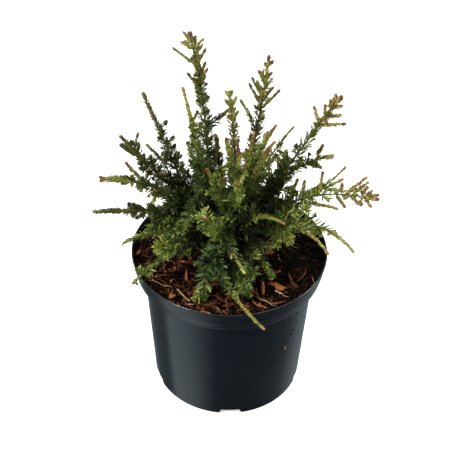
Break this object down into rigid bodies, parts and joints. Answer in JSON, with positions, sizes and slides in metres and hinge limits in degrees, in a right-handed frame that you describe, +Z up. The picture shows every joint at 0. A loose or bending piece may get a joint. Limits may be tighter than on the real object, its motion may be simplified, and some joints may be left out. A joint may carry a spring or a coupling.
{
  "type": "potted dwarf conifer shrub",
  "caption": "Young bushy conifer shrub with upright, spreading and drooping leafy shoots on a short hidden stem, in a round dark plastic nursery pot of bark compost.",
  "frame": {"origin": "centre of the pot's flat underside, on the ground", "axes": "+Z up along the pot's axis; -Y is the plant's fuller front, with the shoot that droops over the lip; +X is to the right seen from the front"},
  "size_m": [0.2612, 0.2093, 0.3583],
  "materials": {
    "pot_plastic": "satin",
    "compost": "matte",
    "bark": "matte",
    "leaves": "matte"
  },
  "bodies": {
    "root": {"bough_back_left": "bark", "bough_back_right": "bark", "bough_front": "bark", "bough_front_centre": "bark", "bough_front_left": "bark", "bough_front_right": "bark", "bough_front_up": "bark", "bough_left": "bark", "bough_low_left": "bark", "bough_low_right": "bark", "bough_mid_left": "bark", "bough_right": "bark", "bough_right_centre": "bark", "bough_tall_left": "bark", "bough_tall_right": "bark", "bough_upper_left": "bark", "bough_upper_right": "bark", "foliage_back_centre": "leaves", "foliage_back_left": "leaves", "foliage_back_left_low": "leaves", "foliage_back_right": "leaves", "foliage_back_right_low": "leaves", "foliage_centre": "leaves", "foliage_centre_right": "leaves", "foliage_centre_right_front": "leaves", "foliage_centre_right_high": "leaves", "foliage_front_arch": "leaves", "foliage_front_hang": "leaves", "foliage_front_left_low": "leaves", "foliage_front_left_tuft": "leaves", "foliage_front_low": "leaves", "foliage_front_low_centre": "leaves", "foliage_front_right_low": "leaves", "foliage_front_spire": "leaves", "foliage_front_spire_left": "leaves", "foliage_front_spire_right": "leaves", "foliage_front_tuft": "leaves", "foliage_left": "leaves", "foliage_left_fork": "leaves", "foliage_left_level": "leaves", "foliage_left_low": "leaves", "foliage_left_tuft": "leaves", "foliage_mid_left": "leaves", "foliage_right": "leaves", "foliage_right_droop": "leaves", "foliage_right_fork": "leaves", "foliage_right_low_tuft": "leaves", "foliage_right_side": "leaves", "foliage_right_thin": "leaves", "foliage_right_tuft": "leaves", "foliage_rim_front": "leaves", "foliage_rim_left": "leaves", "foliage_rim_right": "leaves", "foliage_tall_left": "leaves", "foliage_tall_right": "leaves", "foliage_upper_left": "leaves", "foliage_upper_right": "leaves", "pot": "pot_plastic", "soil": "compost", "stem": "bark"}
  },
  "joints": []
}
